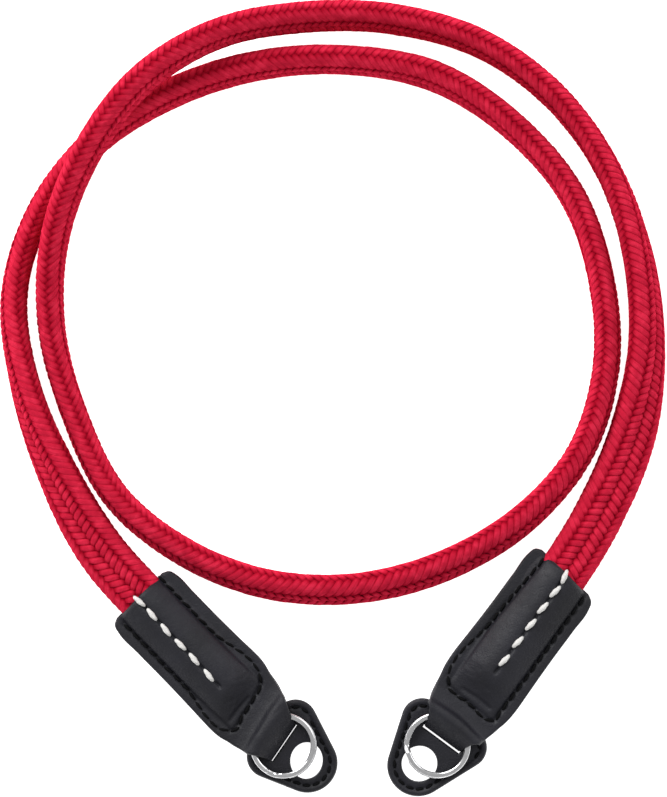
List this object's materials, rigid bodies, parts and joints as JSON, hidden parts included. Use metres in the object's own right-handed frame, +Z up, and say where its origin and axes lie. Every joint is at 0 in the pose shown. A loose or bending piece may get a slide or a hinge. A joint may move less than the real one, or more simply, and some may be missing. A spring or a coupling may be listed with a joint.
{
  "type": "camera strap",
  "caption": "Neck strap of flat braided silk cord, lying in two loose turns, with folded leather ends that each hold a split ring and a leather ring cover.",
  "frame": {"origin": "on the surface that the strap lies on, midway between its two leather ends", "axes": "+Z up from the surface, +X from the left leather end to the right one, +Y from the ends towards the cord's turns"},
  "size_m": [0.154, 0.1839, 0.0232],
  "materials": {
    "silk": "braided silk yarn, soft sheen",
    "end_leather": "smooth fine-grained, satin",
    "cover_leather": "fine-grained, satin",
    "steel": "polished"
  },
  "bodies": {
    "root": {"silk_cord": "silk", "leather_end_left": "end_leather", "leather_end_right": "end_leather", "ring_cover_left": "cover_leather", "ring_cover_right": "cover_leather", "split_ring_left": "steel", "split_ring_right": "steel"}
  },
  "joints": []
}
